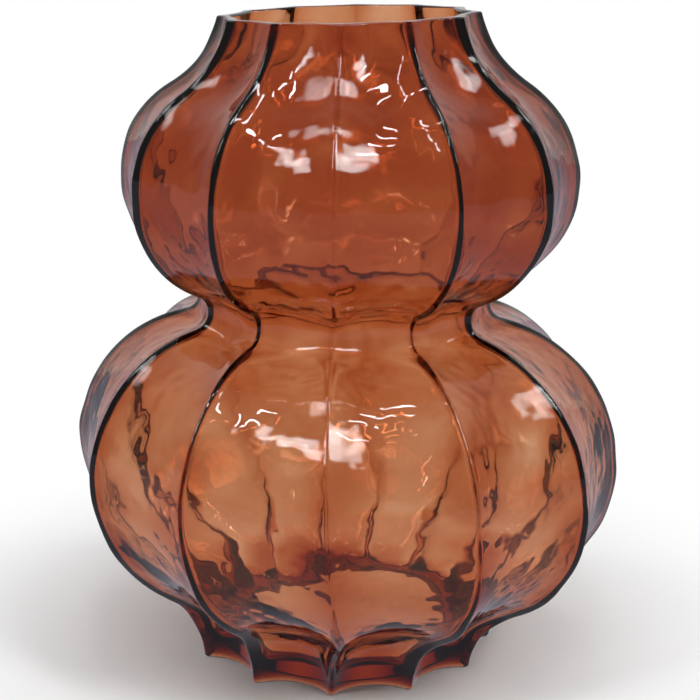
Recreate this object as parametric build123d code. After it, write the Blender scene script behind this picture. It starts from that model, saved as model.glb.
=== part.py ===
from build123d import *

import os
from dataclasses import dataclass
from math import asin, cos, hypot, pi, sin, sqrt

# A double-gourd vase of mould-blown glass. Sharp ridges run from the rim to the foot, with a hollow
# flute between each two, and the inside is round. The vase stands on Z = 0, its axis is Z and one
# ridge faces -Y. Driving dimensions, in millimetres. Radii are measured on the ridges, and each part of
# the ridge line stands on the one below it.
ridge_count = 12

foot_radius = 59.5
foot_height = 6.0
foot_flare = 34.0  # hollow round from the foot into the lower bulb
foot_edge = 1.2  # bevel along both edges where the foot meets the table

lower_radius = 106.2
lower_height = 77.2  # height of the widest place above the table
lower_round = 58.2  # roundness of the bulb, seen from the side
waist_radius = 56.3
waist_round = 6.5  # hollow round between the bulbs
upper_radius = 87.3
upper_round = 44.2

neck_radius = 48.2
neck_flare = 40.9  # hollow round from the upper bulb into the neck
neck_height = 19.9
rim_height = 6.0  # ground and polished lip
rim_edge = 0.8  # bevel along both edges of the lip

# Depth of the flutes below the ridges, square to the wall
foot_flute = 8.0
column_flute = 10.8  # at column_height, where the upright part of the foot ends
column_height = 16.0
bowl_flute = 7.0  # at bowl_height, where the bulb has taken over
bowl_height = 30.0
lower_flute = 6.0
waist_flute = 3.0
upper_flute = 5.0
rim_flute = 3.7

wall = 4.2  # glass at the bottom of a flute
floor_height = 10.0  # inside floor above the table
floor_corner = 5.0  # round from the floor into the wall
recess_radius = 46.0  # hollow under the floor, inside the foot

# Sections laid in each round of the ridge line, and round the corner of the floor
foot_steps = 5
lower_steps = 10
waist_steps = 4
upper_steps = 8
neck_steps = 4
corner_steps = 5
least_step = 1.0  # sections lie no closer than this


@dataclass(frozen=True)
class Round:
    """One round of the ridge line about the centre (r, z): side +1 swells out and side -1 is hollow."""

    r: float
    z: float
    radius: float
    side: int
    steps: int

    def inset(self, depth):
        """Radius of this round when the line is moved towards the axis by depth."""
        return self.radius - self.side * depth


def beside(here, r, radius, side, up, steps):
    """Round at radius r tangent to the round here, above it (up = 1) or below it (up = -1)."""
    rise = sqrt((here.radius + radius) ** 2 - (r - here.r) ** 2)
    return Round(r, here.z + up * rise, radius, side, steps)


lower_bulb = Round(lower_radius - lower_round, lower_height, lower_round, 1, lower_steps)
foot_hollow = beside(lower_bulb, foot_radius + foot_flare, foot_flare, -1, -1, foot_steps)
waist_hollow = beside(lower_bulb, waist_radius + waist_round, waist_round, -1, 1, waist_steps)
upper_bulb = beside(waist_hollow, upper_radius - upper_round, upper_round, 1, 1, upper_steps)
neck_hollow = beside(upper_bulb, neck_radius + neck_flare, neck_flare, -1, 1, neck_steps)
rounds = [foot_hollow, lower_bulb, waist_hollow, upper_bulb, neck_hollow]


def meeting_height(low, high, depth=0.0):
    """Height where two neighbouring rounds touch, on the line between their centres."""
    return low.z + (high.z - low.z) * low.inset(depth) / hypot(high.r - low.r, high.z - low.z)


base_top = meeting_height(foot_hollow, lower_bulb)
lower_top = meeting_height(lower_bulb, waist_hollow)
waist_top = meeting_height(waist_hollow, upper_bulb)
upper_top = meeting_height(upper_bulb, neck_hollow)
neck_top = upper_top + neck_height
vase_height = neck_top + rim_height


def line_radius(z, depth):
    """Radius at height z of the ridge line moved towards the axis by depth, square to the line."""
    here = rounds[-1]
    for low, high in zip(rounds, rounds[1:]):
        if z <= meeting_height(low, high, depth):
            here = low
            break
    rise = z - here.z
    if here is foot_hollow:
        rise = max(rise, 0.0)
    if here is neck_hollow:
        rise = min(rise, 0.0)
    return here.r + here.side * sqrt(here.inset(depth) ** 2 - rise**2)


def flute_depth(z):
    """Depth of the flutes at height z, eased from each named depth to the next."""
    stations = [
        (0.0, foot_flute),
        (column_height, column_flute),
        (bowl_height, bowl_flute),
        (lower_bulb.z, lower_flute),
        (waist_hollow.z, waist_flute),
        (upper_bulb.z, upper_flute),
        (vase_height, rim_flute),
    ]
    for (low, start), (high, end) in zip(stations, stations[1:]):
        if z <= high:
            share = (z - low) / (high - low)
            break
    return start + (end - start) * share * share * (3 - 2 * share)


def fluted_section(z):
    """Outline of the outside at height z: one hollow arc from each ridge to the next."""
    pitch = 360.0 / ridge_count
    ridge = Vector(line_radius(z, 0.0), 0)
    middle = Vector(line_radius(z, flute_depth(z)), 0).rotate(Axis.Z, pitch / 2)
    flute = ThreePointArc(ridge, middle, ridge.rotate(Axis.Z, pitch))
    return Face(Wire([Pos(Z=z) * Rot(Z=pitch * place - 90) * flute for place in range(ridge_count)]))


def inside_radius(z):
    """Radius of the inside at height z, a wall behind the flutes."""
    return line_radius(z, flute_depth(z) + wall)


def section_heights(low, high):
    """Heights from low to high, evenly turned along each round of the ridge line."""
    heights = [low]
    ends = [0.0] + [meeting_height(a, b) for a, b in zip(rounds, rounds[1:])] + [vase_height]
    for here, start, end in zip(rounds, ends, ends[1:]):
        turn_start = asin(max(-1.0, (start - here.z) / here.radius))
        turn_end = asin(min(1.0, (end - here.z) / here.radius))
        for step in range(here.steps):
            z = here.z + here.radius * sin(turn_start + (turn_end - turn_start) * step / here.steps)
            if low + least_step < z < high - least_step:
                heights.append(z)
    return heights + [high]


def inside_line(low, high):
    """Points of the inside between two levels, on the XZ plane."""
    return [(inside_radius(z), 0, z) for z in section_heights(low, high)]


def corner_line():
    """Points of the inside round the corner of the floor, evenly turned, on the XZ plane."""
    line = []
    for step in range(corner_steps + 1):
        turn = pi / 2 * step / corner_steps
        z = floor_height + floor_corner * (1 - cos(turn))
        line.append((inside_radius(z) - floor_corner * (1 - sin(turn)), 0, z))
    return line


def outside_form(low, high):
    """Solid fluted form between two levels."""
    return loft([fluted_section(z) for z in section_heights(low, high)])


def inside_form(*lines):
    """Solid round form of the space inside, turned about the axis along lines that meet end to end."""
    start, end = lines[0][0], lines[-1][-1]
    low, high = (0, 0, start[2]), (0, 0, end[2])
    curves = [Spline(line) for line in lines]
    return revolve(make_face([Line(low, start), *curves, Line(end, high), Line(high, low)]), Axis.Z)


def sides_and_ends(form):
    """Side faces of a form, its bottom and its top."""
    ends = form.faces().filter_by(Axis.Z).sort_by(Axis.Z)
    return [face for face in form.faces() if face not in ends], ends[0], ends[-1]


def ring(low, high):
    """Stretch of the wall between two levels, open above and below."""
    outside, outer_low, outer_high = sides_and_ends(outside_form(low, high))
    inside, inner_low, inner_high = sides_and_ends(inside_form(inside_line(low, high)))
    bottom = Face(outer_low.outer_wire(), [inner_low.outer_wire()])
    top = Face(outer_high.outer_wire(), [inner_high.outer_wire()])
    return Solid(Shell([*outside, *inside, bottom, top]))


def base_cup(low, high):
    """Bottom of the vase's inside: a thick floor with a rounded corner, open above."""
    outside, bottom, outer_high = sides_and_ends(outside_form(low, high))
    wall_line = inside_line(floor_height + floor_corner, high)
    inside, floor, inner_high = sides_and_ends(inside_form(corner_line(), wall_line))
    top = Face(outer_high.outer_wire(), [inner_high.outer_wire()])
    return Solid(Shell([*outside, *inside, bottom, floor, top]))


def foot_ring(high):
    """Scalloped ring that the vase stands on, bevelled along both its edges; the floor closes it above."""
    recess = Cylinder(recess_radius, high, align=(Align.CENTER, Align.CENTER, Align.MIN))
    ring_foot = outside_form(0.0, high) - recess
    return chamfer(ring_foot.edges().filter_by_position(Axis.Z, 0.0, 0.0), foot_edge)


def ground_rim(low):
    """Flat lip, ground level and bevelled along both its edges."""
    lip = ring(low, vase_height)
    return chamfer(lip.edges().filter_by_position(Axis.Z, vase_height, vase_height), rim_edge)


vase = {
    "foot": foot_ring(foot_height),
    "base": base_cup(foot_height, base_top),
    "lower_belly": ring(base_top, lower_bulb.z),
    "lower_shoulder": ring(lower_bulb.z, lower_top),
    "waist": ring(lower_top, waist_top),
    "upper_belly": ring(waist_top, upper_bulb.z),
    "upper_shoulder": ring(upper_bulb.z, upper_top),
    "neck": ring(upper_top, neck_top),
    "rim": ground_rim(neck_top),
}

os.makedirs("parts", exist_ok=True)
for name, piece in vase.items():
    export_step(piece, f"parts/{name}.step")
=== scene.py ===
import logging
import math
from dataclasses import dataclass
from enum import Enum
from typing import Any

import bpy
import numpy as np
from mathutils import Matrix, Vector


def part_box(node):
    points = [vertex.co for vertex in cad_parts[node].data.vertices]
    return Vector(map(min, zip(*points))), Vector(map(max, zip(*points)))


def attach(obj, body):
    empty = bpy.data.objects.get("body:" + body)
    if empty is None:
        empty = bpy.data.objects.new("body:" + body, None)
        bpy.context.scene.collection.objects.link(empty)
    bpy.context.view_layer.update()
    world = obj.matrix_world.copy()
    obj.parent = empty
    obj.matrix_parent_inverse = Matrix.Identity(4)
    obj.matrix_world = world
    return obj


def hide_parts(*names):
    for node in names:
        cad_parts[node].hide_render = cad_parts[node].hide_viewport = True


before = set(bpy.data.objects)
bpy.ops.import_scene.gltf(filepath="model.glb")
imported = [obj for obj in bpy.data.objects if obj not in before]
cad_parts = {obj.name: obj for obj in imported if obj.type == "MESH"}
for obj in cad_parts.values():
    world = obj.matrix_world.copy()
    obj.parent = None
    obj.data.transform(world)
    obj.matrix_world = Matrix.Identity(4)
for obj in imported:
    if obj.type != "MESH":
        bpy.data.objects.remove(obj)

Color = tuple[float, float, float, float]
Stations = tuple[tuple[float, float], ...]  # heights with a value at each
Stretch = tuple[np.ndarray, np.ndarray]  # radii and heights of neighbouring rows of the mesh

LOG = logging.getLogger("gourd_vase")
MM = 0.001
WHITE: Color = (1.0, 1.0, 1.0, 1.0)
PHOTO_SIDE = 700  # pixels
SENSOR_WIDTH = 36.0  # millimetres, as Blender states it


class Zone(Enum):
    """Zones of the glass, as the solids name them, from the table up."""

    FOOT = "foot"
    BASE = "base"
    LOWER_BELLY = "lower_belly"
    LOWER_SHOULDER = "lower_shoulder"
    WAIST = "waist"
    UPPER_BELLY = "upper_belly"
    UPPER_SHOULDER = "upper_shoulder"
    NECK = "neck"
    RIM = "rim"

    def top(self) -> float:
        """Height of the zone's upper face, in metres."""
        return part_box(self.value)[1].z

    def reach(self) -> float:
        """Largest distance of the zone from the axis, in metres."""
        return -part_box(self.value)[0].y


class Value:
    """A number socket of a node tree; arithmetic on it adds Math nodes."""

    def __init__(self, board: "NodeBoard", socket: bpy.types.NodeSocket | None) -> None:
        """Wraps an output socket of the board's tree, or None for a node without outputs."""
        self.board = board
        self.socket = socket

    def _math(self, operation: str, first: "Value | float", second: "Value | float") -> "Value":
        """Adds one Math node.

        Args:
            operation: the node's operation.
            first: number or Value for the first socket.
            second: number or Value for the second socket.

        Returns:
            The node's output.
        """
        return self.board.node("ShaderNodeMath", {"operation": operation}, {0: first, 1: second})

    def __add__(self, other: "Value | float") -> "Value":
        """Sum."""
        return self._math("ADD", self, other)

    def __radd__(self, other: float) -> "Value":
        """Sum, reflected."""
        return self._math("ADD", other, self)

    def __sub__(self, other: "Value | float") -> "Value":
        """Difference."""
        return self._math("SUBTRACT", self, other)

    def __rsub__(self, other: float) -> "Value":
        """Difference, reflected."""
        return self._math("SUBTRACT", other, self)

    def __mul__(self, other: "Value | float") -> "Value":
        """Product."""
        return self._math("MULTIPLY", self, other)

    def __rmul__(self, other: float) -> "Value":
        """Product, reflected."""
        return self._math("MULTIPLY", other, self)


class NodeBoard:
    """Builds the nodes of one material or world."""

    def __init__(self, owner: bpy.types.Material | bpy.types.World) -> None:
        """Clears the owner's tree and keeps it.

        Args:
            owner: the material or world.
        """
        owner.use_nodes = True
        self.tree = owner.node_tree
        self.tree.nodes.clear()

    def node(self, kind: str, settings: dict[str, Any] | None = None,
             sockets: dict[str | int, Any] | None = None, output: str | int = 0) -> Value:
        """Adds a node.

        Args:
            kind: the node's type name.
            settings: properties, set before the sockets.
            sockets: values or links by socket name or place.
            output: the output that is wanted.

        Returns:
            That output, wrapped.
        """
        made = self.tree.nodes.new(kind)
        for name, value in (settings or {}).items():
            setattr(made, name, value)
        for key, value in (sockets or {}).items():
            if isinstance(value, Value):
                self.tree.links.new(value.socket, made.inputs[key])
            else:
                made.inputs[key].default_value = value
        return Value(self, made.outputs[output] if len(made.outputs) else None)


def eased(heights: np.ndarray, stations: Stations) -> np.ndarray:
    """Value at each height: it goes from station to station along smooth steps of s * s * (3 - 2 s).

    Args:
        heights: heights, of any shape.
        stations: pairs of height and value, from low to high.

    Returns:
        Values of the same shape as heights.
    """
    levels, values = np.array(stations).T
    share = np.clip((heights[..., None] - levels[:-1]) / np.diff(levels), 0.0, 1.0)
    return values[0] + (np.diff(values) * share * share * (3.0 - 2.0 * share)).sum(axis=-1)


def outward(azimuth: float, elevation: float) -> Vector:
    """Direction out from the vase: (sin a cos e, -cos a cos e, sin e).

    Args:
        azimuth: degrees from the front, a quarter turn being the right-hand side.
        elevation: degrees above the level.

    Returns:
        Vector of length 1.
    """
    turn, lift = math.radians(azimuth), math.radians(elevation)
    return Vector((math.sin(turn) * math.cos(lift), -math.cos(turn) * math.cos(lift), math.sin(lift)))


@dataclass(frozen=True)
class Round:
    """One round of the ridge line about the centre (r, z): side +1 swells out and side -1 is hollow."""

    r: float
    z: float
    radius: float
    side: int

    def beside(self, r: float, radius: float, side: int, up: int) -> "Round":
        """Round at radius r that touches this one, above it (up = 1) or below it (up = -1)."""
        rise = math.sqrt((self.radius + radius) ** 2 - (r - self.r) ** 2)
        return Round(r, self.z + up * rise, radius, side)

    def meeting(self, other: "Round", depth: float | np.ndarray) -> float | np.ndarray:
        """Height where this round and the next touch, when the line is moved inwards by depth."""
        span = math.hypot(other.r - self.r, other.z - self.z)
        return self.z + (other.z - self.z) * (self.radius - self.side * depth) / span


@dataclass(frozen=True)
class RidgeLine:
    """The line of a ridge, seen from the side: tangent rounds from the foot to the rim."""

    rounds: tuple[Round, ...]

    def meetings(self, depth: float | np.ndarray) -> list[float | np.ndarray]:
        """Heights where each two neighbouring rounds touch, when the line is moved inwards by depth."""
        return [here.meeting(above, depth) for here, above in zip(self.rounds, self.rounds[1:])]

    def radius(self, z: np.ndarray, depth: np.ndarray) -> np.ndarray:
        """Distance from the axis of the line moved inwards by depth, square to itself.

        In a round about (r, z0) with radius R that is r plus or minus the root of
        (R -+ depth)^2 - (z - z0)^2.

        Args:
            z: heights.
            depth: how far the line is moved, for each height.

        Returns:
            Radii, one for each height.
        """
        last = len(self.rounds) - 1
        within = [z <= meeting for meeting in self.meetings(depth)]
        radii = []
        for place, here in enumerate(self.rounds):
            rise = z - here.z
            rise = np.maximum(rise, 0.0) if place == 0 else rise
            rise = np.minimum(rise, 0.0) if place == last else rise
            reach = (here.radius - here.side * depth) ** 2 - rise**2
            radii.append(here.r + here.side * np.sqrt(np.maximum(reach, 0.0)))
        return np.select(within, radii[:-1], radii[-1])

    def heights(self, low: float, high: float, counts: tuple[int, ...]) -> np.ndarray:
        """Heights from low to high, evenly turned along each round.

        Args:
            low: first height.
            high: last height.
            counts: steps in each round.

        Returns:
            Rising heights, both ends among them.
        """
        levels = np.array([low, *self.meetings(0.0), high])
        turned = []
        for here, start, end, count in zip(self.rounds, levels, levels[1:], counts):
            turns = np.arcsin(np.clip((np.array([start, end]) - here.z) / here.radius, -1.0, 1.0))
            z = here.z + here.radius * np.sin(np.linspace(turns[0], turns[1], count, endpoint=False))
            turned.append(np.maximum(z, start))
        return np.append(np.concatenate(turned), high)


@dataclass(frozen=True)
class Ripple:
    """Unevenness of blown glass: many small waves that run over the surface in all directions."""

    height: float
    shortest: float
    longest: float
    count: int
    seed: int

    def over(self, angle: np.ndarray, z: np.ndarray, girth: float) -> np.ndarray:
        """Height of the ripple: the sum of sin(turns * angle + rise * z + phase) over the waves, scaled.

        Args:
            angle: angles round the axis.
            z: heights, in the same shape or one that goes with it.
            girth: radius at which a wave has its stated length.

        Returns:
            Height above the smooth surface.
        """
        draw = np.random.default_rng(self.seed)
        length = draw.uniform(self.shortest, self.longest, self.count)
        heading = draw.uniform(0.0, math.pi, self.count)
        phase = draw.uniform(0.0, 2.0 * math.pi, self.count)
        turns = np.round(2.0 * math.pi * girth / length * np.cos(heading))
        rise = 2.0 * math.pi / length * np.sin(heading)
        waves = np.sin(angle[..., None] * turns + z[..., None] * rise + phase)
        return self.height * math.sqrt(2.0 / self.count) * waves.sum(axis=-1)


@dataclass(frozen=True)
class GlassFinish:
    """Clear amber-brown glass, coloured through its thickness."""

    name: str = "amber_glass"
    tint: Color = (0.768, 0.418, 0.123, 1.0)
    density: float = 700.0
    ior: float = 1.5
    polish: float = 0.012
    haze: float = 0.03
    haze_scale: float = 38.0
    haze_detail: float = 3.0
    ripple_scale: float = 95.0
    ripple_detail: float = 1.0
    ripple_height: float = 0.5 * MM

    def material(self) -> bpy.types.Material:
        """Makes the glass: it absorbs light along its path, and faint haze and ripples vary the surface.

        Returns:
            The material.
        """
        made = bpy.data.materials.new(self.name)
        board = NodeBoard(made)
        place = board.node("ShaderNodeTexCoord", output="Object")
        cloud = board.node("ShaderNodeTexNoise", {}, {
            "Vector": place, "Scale": self.haze_scale, "Detail": self.haze_detail})
        ripple = board.node("ShaderNodeTexNoise", {}, {
            "Vector": place, "Scale": self.ripple_scale, "Detail": self.ripple_detail})
        bump = board.node("ShaderNodeBump", {}, {
            "Strength": 1.0, "Distance": self.ripple_height, "Height": ripple})
        glass = board.node("ShaderNodeBsdfPrincipled", {}, {
            "Base Color": WHITE,
            "Transmission Weight": 1.0,
            "IOR": self.ior,
            "Roughness": self.polish + self.haze * cloud * cloud,
            "Normal": bump,
        })
        inside = board.node("ShaderNodeVolumeAbsorption", {}, {"Color": self.tint, "Density": self.density})
        board.node("ShaderNodeOutputMaterial", {}, {"Surface": glass, "Volume": inside})
        return made


@dataclass
class GourdVase:
    """The glass: twelve sharp ridges with hollow flutes between them, two bulbs, a foot and a ground rim."""

    ridges: int = 12
    ridge_nose: float = 1.2 * MM
    inside_nose: float = 2.0 * MM
    foot_radius: float = 59.5 * MM
    foot_flare: float = 34.0 * MM
    foot_edge: float = 1.2 * MM
    lower_round: float = 58.2 * MM
    waist_radius: float = 56.3 * MM
    waist_round: float = 6.5 * MM
    upper_round: float = 44.2 * MM
    neck_radius: float = 48.2 * MM
    neck_flare: float = 40.9 * MM
    rim_edge: float = 1.0 * MM
    floor_height: float = 8.0 * MM
    floor_corner: float = 5.0 * MM
    recess_radius: float = 42.0 * MM
    recess_corner: float = 1.5 * MM

    # Depth of the flutes and wall behind them at the table, the column, the bowl, the lower bulb, the waist,
    # the upper bulb and the rim. The share of the depth that the inside follows also has the lip's start.
    column_height: float = 16.0 * MM
    bowl_height: float = 30.0 * MM
    lip_start: float = 224.0 * MM
    flutes: tuple[float, ...] = (8.0 * MM, 10.8 * MM, 7.0 * MM, 6.0 * MM, 3.0 * MM, 5.0 * MM, 3.7 * MM)
    walls: tuple[float, ...] = (5.0 * MM, 4.4 * MM, 2.2 * MM, 1.35 * MM, 2.8 * MM, 3.5 * MM, 3.2 * MM)
    inside_shares: tuple[float, ...] = (0.85, 0.85, 0.80, 0.70, 0.90, 0.90, 0.95, 0.50)

    # Accidents of blown glass: heights with the lean to the right there, both in millimetres; the rim's drop,
    # and its slant to the right and the front; and the unevenness of both sides
    lean: Stations = (
        (0.0, -0.3), (12.0, 0.2), (31.0, 3.8), (45.0, 2.8), (90.0, 0.0), (140.0, -1.4), (187.0, 0.0),
        (250.0, -1.1),
    )
    rim_tilt: tuple[float, float, float] = (-1.3 * MM, 1.85 * MM, 1.9 * MM)
    tilt_start: float = 190.0 * MM
    outer_ripple: Ripple = Ripple(0.14 * MM, 12.0 * MM, 32.0 * MM, 24, 5)
    inner_ripple: Ripple = Ripple(0.16 * MM, 14.0 * MM, 40.0 * MM, 20, 8)

    # Columns of the mesh in each flute, and its rows in each round and along the smaller stretches
    columns_per_flute: int = 24
    outer_rows: tuple[int, ...] = (18, 60, 22, 46, 20)
    inner_rows: tuple[int, ...] = (6, 44, 16, 34, 14)
    edge_steps: int = 5
    flat_steps: int = 4
    disc_steps: int = 8
    corner_steps: int = 11

    def __post_init__(self) -> None:
        """Takes the main sizes from the solids and lays out the ridge line."""
        self.height = Zone.RIM.top()
        lower_centre = Zone.LOWER_BELLY.reach() - self.lower_round
        lower = Round(lower_centre, Zone.LOWER_BELLY.top(), self.lower_round, 1)
        foot = lower.beside(self.foot_radius + self.foot_flare, self.foot_flare, -1, -1)
        waist = lower.beside(self.waist_radius + self.waist_round, self.waist_round, -1, 1)
        upper = waist.beside(Zone.UPPER_BELLY.reach() - self.upper_round, self.upper_round, 1, 1)
        neck = upper.beside(self.neck_radius + self.neck_flare, self.neck_flare, -1, 1)
        self.line = RidgeLine((foot, lower, waist, upper, neck))
        levels = (0.0, self.column_height, self.bowl_height, lower.z, waist.z, upper.z)
        self.flute_stations = tuple(zip((*levels, self.height), self.flutes))
        self.wall_stations = tuple(zip((*levels, self.height), self.walls))
        self.share_stations = tuple(zip((*levels, self.lip_start, self.height), self.inside_shares))

    def angles(self) -> np.ndarray:
        """Angles round the axis, from the front ridge, closer together towards each ridge.

        Within half a flute the angle grows with the square of the step, on both sides of the ridge.

        Returns:
            One angle for each column.
        """
        steps = np.arange(self.columns_per_flute) / self.columns_per_flute * 2.0 - 1.0
        within = np.sign(steps) * steps * steps * math.pi / self.ridges
        places = np.arange(self.ridges)[:, None] * 2.0 * math.pi / self.ridges
        return (places + within).ravel()

    def section(self, tip: np.ndarray, valley: np.ndarray, nose: float) -> np.ndarray:
        """Radius round a section: a round nose out to tip, and a tangent arc that comes in to valley.

        The nose is the circle about tip - nose. The arc's bend b follows from touching that circle, and its
        radius at angle p from the valley is (b v^2 + 2 v) / (c + root of (c^2 - b (b v^2 + 2 v))), with
        c = (b v + 1) cos p.

        Args:
            tip: radius on the ridges, one for each row.
            valley: radius in the flutes, one for each row.
            nose: rounding of the ridges.

        Returns:
            Radii by row and column.
        """
        half = math.pi / self.ridges
        angle = np.abs((self.angles() + half) % (2.0 * half) - half)[None, :]
        centre = (tip - nose)[:, None]
        floor = valley[:, None]
        gap = centre**2 + floor**2 - 2.0 * centre * floor * math.cos(half) - nose**2
        bend = 2.0 * (nose + centre * math.cos(half) - floor) / gap
        out = ((1.0 + bend * floor) * math.cos(half) - bend * centre) / (1.0 + bend * nose)
        side = (1.0 + bend * floor) * math.sin(half) / (1.0 + bend * nose)
        touch = np.arctan2(nose * side, centre + nose * out)
        half_chord = np.sqrt(np.maximum(nose**2 - (centre * np.sin(angle)) ** 2, 0.0))
        on_nose = centre * np.cos(angle) + half_chord
        swing = (bend * floor + 1.0) * np.cos(half - angle)
        share = bend * floor**2 + 2.0 * floor
        in_flute = share / (swing + np.sqrt(np.maximum(swing**2 - bend * share, 0.0)))
        return np.where(angle < touch, on_nose, in_flute)

    def outside(self, z: np.ndarray) -> np.ndarray:
        """Radius of the outside: ridges on the ridge line, flutes their depth further in, and the ripple.

        Args:
            z: heights.

        Returns:
            Radii by height and angle.
        """
        tip = self.line.radius(z, np.zeros_like(z))
        valley = self.line.radius(z, eased(z, self.flute_stations))
        uneven = self.outer_ripple.over(self.angles()[None, :], z[:, None], self.waist_radius)
        return self.section(tip, valley, self.ridge_nose) + uneven

    def inside(self, z: np.ndarray) -> np.ndarray:
        """Radius of the inside: a wall further in, with shallower flutes, and the ripple.

        Args:
            z: heights.

        Returns:
            Radii by height and angle.
        """
        depth, wall = eased(z, self.flute_stations), eased(z, self.wall_stations)
        tip = self.line.radius(z, wall + depth * (1.0 - eased(z, self.share_stations)))
        valley = self.line.radius(z, wall + depth)
        uneven = self.inner_ripple.over(self.angles()[None, :], z[:, None], self.waist_radius)
        return self.section(tip, valley, self.inside_nose) + uneven

    def quarter(self) -> np.ndarray:
        """Angles of a quarter turn round an edge, one for each row."""
        return np.linspace(0.0, math.pi / 2.0, self.edge_steps + 1)[:, None]

    def across(self) -> np.ndarray:
        """Shares of the way across a flat stretch, without its ends, one for each row."""
        return np.linspace(0.0, 1.0, self.flat_steps + 1)[1:-1, None]

    def underside(self) -> list[Stretch]:
        """Rows under the vase, from the middle out: recess, its corner, and the foot with both its edges.

        On a round edge or corner a row is 1 - sin and 1 - cos of its turn, times the radius, from the corner.

        Returns:
            Radii and heights of each stretch.
        """
        turn, edge, corner = self.quarter(), self.foot_edge, self.recess_corner
        ceiling = Zone.FOOT.top()
        disc = np.linspace(0.0, 1.0, self.disc_steps + 1)[1:, None] * (self.recess_radius - corner)
        bend = self.recess_radius - corner * (1.0 - np.sin(turn[1:]))
        inner_edge = self.recess_radius + edge * (1.0 - np.cos(turn))
        foot = self.outside(np.full(1, edge))
        sole = inner_edge[-1:] + (foot - edge - inner_edge[-1:]) * self.across()
        toe = foot - edge * (1.0 - np.sin(turn[:-1]))
        return [
            (disc, np.full_like(disc, ceiling)),
            (bend, ceiling - corner * (1.0 - np.cos(turn[1:]))),
            (inner_edge, edge * (1.0 - np.sin(turn))),
            (sole, np.zeros_like(sole)),
            (toe, edge * (1.0 - np.cos(turn[:-1]))),
        ]

    def lip(self, outer: np.ndarray, inner: np.ndarray) -> list[Stretch]:
        """Rows over the rim, from the outside in: its outer edge, the flat top and its inner edge.

        Args:
            outer: radii of the outside where the rim's edge starts.
            inner: radii of the inside where the rim's edge starts.

        Returns:
            Radii and heights of each stretch.
        """
        turn, edge = self.quarter(), self.rim_edge
        back = turn[::-1]
        brow = outer - edge * (1.0 - np.cos(turn[1:]))
        mouth = inner + edge * (1.0 - np.cos(back))
        top = brow[-1:] + (mouth[:1] - brow[-1:]) * self.across()
        return [
            (brow, self.height - edge * (1.0 - np.sin(turn[1:]))),
            (top, np.full_like(top, self.height)),
            (mouth[:-1], self.height - edge * (1.0 - np.sin(back[:-1]))),
        ]

    def well(self) -> list[Stretch]:
        """Rows at the bottom of the inside, from the wall in: the round corner and the floor.

        Returns:
            Radii and heights of each stretch.
        """
        turn = np.linspace(math.pi / 2.0, 0.0, self.corner_steps + 1)[1:]
        z = self.floor_height + self.floor_corner * (1.0 - np.cos(turn))
        bend = self.inside(z) - self.floor_corner * (1.0 - np.sin(turn))[:, None]
        floor = bend[-1:] * (1.0 - np.linspace(0.0, 1.0, self.disc_steps + 1)[1:-1, None])
        return [(bend, z[:, None]), (floor, np.full_like(floor, self.floor_height))]

    def profile(self) -> Stretch:
        """Walks round the glass: underside, outside, rim, inside and floor.

        Returns:
            Radii and heights, both by row and column; the poles on the axis are left out.
        """
        rim_start = self.height - self.rim_edge
        outer_z = self.line.heights(self.foot_edge, rim_start, self.outer_rows)
        inner_z = self.line.heights(self.floor_height + self.floor_corner, rim_start, self.inner_rows)[::-1]
        outer, inner = self.outside(outer_z), self.inside(inner_z)
        walk = [
            *self.underside(),
            (outer, outer_z[:, None]),
            *self.lip(outer[-1:], inner[:1]),
            (inner, inner_z[:, None]),
            *self.well(),
        ]
        columns = self.angles()[None, :]
        spread = [np.broadcast_arrays(radius, z, columns) for radius, z in walk]
        return np.concatenate([rows[0] for rows in spread]), np.concatenate([rows[1] for rows in spread])

    def points(self) -> np.ndarray:
        """Points of the glass, row by row, and then the two poles on the axis.

        A point at radius r, height z and angle a lies at (r sin a + lean, -r cos a, z + tilt). The tilt is
        that of a slanted plane, which takes hold from tilt_start up to the rim.

        Returns:
            Array of points, three numbers each.
        """
        radius, z = self.profile()
        angle = self.angles()[None, :]
        lean = eased(z / MM, self.lean) * MM
        drop, right, front = self.rim_tilt
        slant = drop + (right * np.sin(angle) + front * np.cos(angle)) * radius / self.neck_radius
        tilt = slant * eased(z, ((self.tilt_start, 0.0), (self.height, 1.0)))
        rows = np.stack([radius * np.sin(angle) + lean, -radius * np.cos(angle), z + tilt], axis=-1)
        poles = [[lean[0, 0], 0.0, z[0, 0]], [lean[-1, 0], 0.0, z[-1, 0]]]
        return np.concatenate([rows.reshape(-1, 3), poles])

    def faces(self, rows: int, columns: int) -> tuple[np.ndarray, np.ndarray]:
        """Quads between neighbouring rows and a fan of triangles at each pole.

        Args:
            rows: number of rows.
            columns: number of columns in each.

        Returns:
            Corner numbers of all faces in turn, and the number of corners of each face.
        """
        place = np.arange(rows * columns).reshape(rows, columns)
        beside = np.roll(place, -1, axis=1)
        quads = np.stack([place[:-1], beside[:-1], beside[1:], place[1:]], axis=-1).reshape(-1, 4)
        low = np.stack([np.full(columns, rows * columns), beside[0], place[0]], axis=-1)
        high = np.stack([np.full(columns, rows * columns + 1), place[-1], beside[-1]], axis=-1)
        corners = np.concatenate([quads.ravel(), low.ravel(), high.ravel()])
        counts = np.repeat([4, 3, 3], [len(quads), columns, columns])
        return corners, counts

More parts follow.
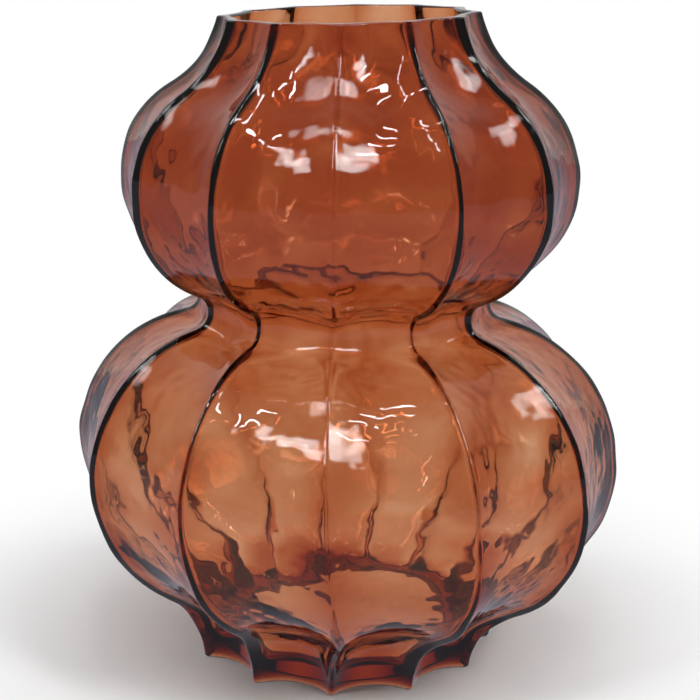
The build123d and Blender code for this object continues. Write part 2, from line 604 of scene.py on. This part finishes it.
    def build(self, finish: GlassFinish) -> bpy.types.Object:
        """Makes the glass as one closed mesh and dresses it.

        Args:
            finish: the glass that it is made of.

        Returns:
            The piece.
        """
        points = self.points()
        columns = len(self.angles())
        corners, counts = self.faces((len(points) - 2) // columns, columns)
        starts = np.cumsum(counts) - counts
        mesh = bpy.data.meshes.new("vase_glass")
        mesh.vertices.add(len(points))
        mesh.vertices.foreach_set("co", points.astype(np.float32).ravel())
        mesh.loops.add(len(corners))
        mesh.loops.foreach_set("vertex_index", corners.astype(np.int32))
        mesh.polygons.add(len(counts))
        mesh.polygons.foreach_set("loop_start", starts.astype(np.int32))
        mesh.polygons.foreach_set("use_smooth", np.ones(len(counts), bool))
        mesh.update(calc_edges=True)
        mesh.materials.append(finish.material())
        piece = bpy.data.objects.new("vase_glass", mesh)
        bpy.context.scene.collection.objects.link(piece)
        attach(piece, "root")
        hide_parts(*[zone.value for zone in Zone])
        return piece


@dataclass(frozen=True)
class PhotoCamera:
    """The camera that took the photograph, as fitted to the vase's outline and ridges; focal is in pixels."""

    distance: float = 711.5 * MM
    height: float = 331.8 * MM
    focal: float = 1907.8
    pitch: float = math.radians(16.67)
    yaw: float = math.radians(0.11)
    roll: float = math.radians(0.94)
    azimuth: float = math.radians(3.43)

    def build(self) -> bpy.types.Object:
        """Makes the camera and gives it to the scene.

        Returns:
            The camera.
        """
        ahead = Vector((math.sin(self.yaw), math.cos(self.yaw), 0.0))
        right = Vector((math.cos(self.yaw), -math.sin(self.yaw), 0.0))
        rise = Vector((0.0, 0.0, 1.0))
        view = ahead * math.cos(self.pitch) - rise * math.sin(self.pitch)
        up = ahead * math.sin(self.pitch) + rise * math.cos(self.pitch)
        across = right * math.cos(self.roll) + up * math.sin(self.roll)
        upright = up * math.cos(self.roll) - right * math.sin(self.roll)
        axes = Matrix((across, upright, -view)).transposed().to_4x4()
        place = Matrix.Translation((0.0, -self.distance, self.height))
        lens = bpy.data.cameras.new("photo_camera")
        lens.sensor_width = SENSOR_WIDTH
        lens.lens = self.focal / PHOTO_SIDE * SENSOR_WIDTH
        camera = bpy.data.objects.new("photo_camera", lens)
        camera.matrix_world = Matrix.Rotation(self.azimuth, 4, "Z") @ place @ axes
        bpy.context.scene.collection.objects.link(camera)
        bpy.context.scene.camera = camera
        return camera


@dataclass(frozen=True)
class SoftBox:
    """A rectangular light that faces the vase; azimuth 0 is the front and 90 the right-hand side."""

    name: str
    azimuth: float
    elevation: float
    width: float
    tall: float
    power: float
    distance: float = 1.3

    def build(self, aim: Vector) -> bpy.types.Object:
        """Makes the light, turned to the point aim.

        Args:
            aim: where it points.

        Returns:
            The light.
        """
        out = outward(self.azimuth, self.elevation)
        lamp = bpy.data.lights.new(self.name, "AREA")
        lamp.shape = "RECTANGLE"
        lamp.size = self.width
        lamp.size_y = self.tall
        lamp.energy = self.power
        light = bpy.data.objects.new(self.name, lamp)
        light.location = aim + out * self.distance
        light.rotation_euler = (-out).to_track_quat("-Z", "Y").to_euler()
        light.visible_camera = False
        bpy.context.scene.collection.objects.link(light)
        return light


@dataclass(frozen=True)
class Glow:
    """A round soft light without an edge, far away in the surround; azimuths are as for a SoftBox."""

    azimuth: float
    elevation: float
    fade: float
    strength: float
    core: float = 0.5

    def shine(self, board: NodeBoard, direction: Value) -> Value:
        """Adds the light's nodes: full strength within core degrees of its middle, none beyond fade.

        Args:
            board: the surround's nodes.
            direction: where each ray goes.

        Returns:
            Strength of the light along the ray.
        """
        middle = outward(self.azimuth, self.elevation)
        facing = board.node("ShaderNodeVectorMath", {"operation": "DOT_PRODUCT"},
                            {0: direction, 1: middle}, "Value")
        return board.node("ShaderNodeMapRange", {"interpolation_type": "SMOOTHSTEP"}, {
            "Value": facing,
            "From Min": math.cos(math.radians(self.fade)),
            "From Max": math.cos(math.radians(self.core)),
            "To Max": self.strength,
        })


@dataclass(frozen=True)
class Studio:
    """Pale floor, soft lights and a white surround."""

    floor_reach: float = 6.0
    floor_color: Color = (0.92, 0.92, 0.92, 1.0)
    # Painted reflection: the dim lavender glow that the floor gives to rays mirrored by the glass
    painted_floor_reflection: Color = (0.40, 0.38, 0.44, 1.0)
    shadow_reach: float = 0.08
    shadow_fade: float = 0.14
    room_light: float = 0.2
    bounces: int = 24
    glows: tuple[Glow, ...] = (
        # Left side
        Glow(-97.0, 46.0, 8.0, 5.0),
        Glow(-91.0, 54.0, 8.0, 5.0),
        # Left of the front
        Glow(-55.0, 36.0, 5.0, 10.5),
        Glow(-50.0, 40.0, 5.0, 10.5),
        Glow(-54.0, 45.0, 6.0, 10.5),
        Glow(-49.0, 51.0, 5.0, 10.5),
        # Right of the front
        Glow(52.0, 38.0, 6.0, 11.5),
        Glow(60.0, 43.0, 6.0, 11.5),
        Glow(53.0, 48.0, 7.0, 11.5),
        Glow(61.0, 54.0, 6.0, 11.5),
        # Right side
        Glow(90.0, 40.0, 7.0, 7.0),
        Glow(97.0, 47.0, 8.0, 7.0),
        Glow(91.0, 54.0, 7.0, 7.0),
        # Behind the vase
        Glow(180.0, 15.0, 75.0, 0.5, core=20.0),
    )
    boxes: tuple[SoftBox, ...] = (
        SoftBox("left_tube_1", -44.0, 56.0, 0.02, 0.14, 0.40),
        SoftBox("left_tube_2", -36.0, 63.0, 0.02, 0.14, 0.40),
        SoftBox("left_tube_3", -30.0, 71.0, 0.02, 0.14, 0.40),
        SoftBox("left_tube_4", -14.0, 80.0, 0.03, 0.24, 0.60),
        SoftBox("left_tube_5", -62.0, 64.0, 0.12, 0.02, 0.35),
        SoftBox("front_tube_1", 0.0, 48.0, 0.03, 0.20, 0.35),
        SoftBox("front_tube_2", 3.0, 60.0, 0.03, 0.20, 0.35),
        SoftBox("front_tube_3", 0.0, 72.0, 0.03, 0.20, 0.35),
        SoftBox("right_tube_1", 46.0, 52.0, 0.22, 0.02, 0.45),
        SoftBox("right_tube_2", 50.0, 60.0, 0.22, 0.02, 0.55),
        SoftBox("right_tube_3", 52.0, 68.0, 0.22, 0.02, 0.55),
        SoftBox("right_tube_4", 64.0, 77.0, 0.22, 0.02, 0.50),
    )

    def floor_material(self) -> bpy.types.Material:
        """Makes the floor's finish: matt near the vase, where its shadow falls, and plain white further off.

        Seen through the glass it is white all over, and mirrored in the glass it shows a painted reflection:
        a dim lavender glow in place of its lit face.

        Returns:
            The material.
        """
        made = bpy.data.materials.new("pale_floor")
        board = NodeBoard(made)
        place = board.node("ShaderNodeTexCoord", output="Object")
        reach = board.node("ShaderNodeVectorMath", {"operation": "LENGTH"}, {0: place}, "Value")
        far = board.node("ShaderNodeMapRange", {"interpolation_type": "SMOOTHSTEP"}, {
            "Value": reach, "From Min": self.shadow_reach, "From Max": self.shadow_reach + self.shadow_fade})
        path = board.node("ShaderNodeLightPath")
        rays = path.socket.node.outputs
        kinds = ("Is Camera Ray", "Is Glossy Ray", "Is Transmission Ray")
        camera, mirrored, through = (Value(board, rays[kind]) for kind in kinds)
        shown = board.node("ShaderNodeMath", {"operation": "MAXIMUM"}, {0: far * camera, 1: through})
        matt = board.node("ShaderNodeBsdfDiffuse", {}, {"Color": self.floor_color})
        white = board.node("ShaderNodeEmission", {}, {"Color": WHITE, "Strength": 1.0})
        # Painted reflection: a dim lavender glow that the glass mirrors in place of the lit floor
        dim = board.node("ShaderNodeEmission", {}, {"Color": self.painted_floor_reflection, "Strength": 1.0})
        seen = board.node("ShaderNodeMixShader", {}, {0: shown, 1: matt, 2: white})
        both = board.node("ShaderNodeMixShader", {}, {0: mirrored * (1.0 - through), 1: seen, 2: dim})
        board.node("ShaderNodeOutputMaterial", {}, {"Surface": both})
        return made

    def build_floor(self) -> bpy.types.Object:
        """Makes the floor, a level square at the height of the table.

        Returns:
            The floor.
        """
        side = self.floor_reach
        corners = [(-side, -side, 0), (side, -side, 0), (side, side, 0), (-side, side, 0)]
        mesh = bpy.data.meshes.new("floor")
        mesh.from_pydata(corners, [], [(0, 1, 2, 3)])
        mesh.materials.append(self.floor_material())
        floor = bpy.data.objects.new("floor", mesh)
        bpy.context.scene.collection.objects.link(floor)
        return floor

    def build_world(self) -> None:
        """Makes the surround: white to the camera, and a dim room with the glows in it to every other ray."""
        world = bpy.data.worlds.new("studio")
        bpy.context.scene.world = world
        board = NodeBoard(world)
        direction = board.node("ShaderNodeTexCoord", output="Generated")
        seen = board.node("ShaderNodeLightPath", output="Is Camera Ray")
        room = self.room_light
        for glow in self.glows:
            room = glow.shine(board, direction) + room
        strength = room + seen * (1.0 - room)
        light = board.node("ShaderNodeBackground", {}, {"Color": WHITE, "Strength": strength})
        board.node("ShaderNodeOutputWorld", {}, {"Surface": light})

    def build(self, aim: Vector) -> None:
        """Sets up floor, surround, lights, the plain view transform and the bounces that the glass needs.

        Args:
            aim: where the lights point.
        """
        self.build_floor()
        self.build_world()
        for box in self.boxes:
            box.build(aim)
        scene = bpy.context.scene
        scene.view_settings.view_transform = "Standard"
        scene.cycles.max_bounces = self.bounces
        scene.cycles.transmission_bounces = self.bounces


def main() -> None:
    """Builds the vase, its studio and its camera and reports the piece."""
    logging.basicConfig(level=logging.INFO, format="%(name)s: %(message)s")
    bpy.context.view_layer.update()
    vase = GourdVase()
    glass = vase.build(GlassFinish())
    LOG.info("%s: %d points, %d faces", glass.name, len(glass.data.vertices), len(glass.data.polygons))
    Studio().build(Vector((0.0, 0.0, vase.height / 2.0)))
    PhotoCamera().build()


if __name__ == "__main__":
    main()
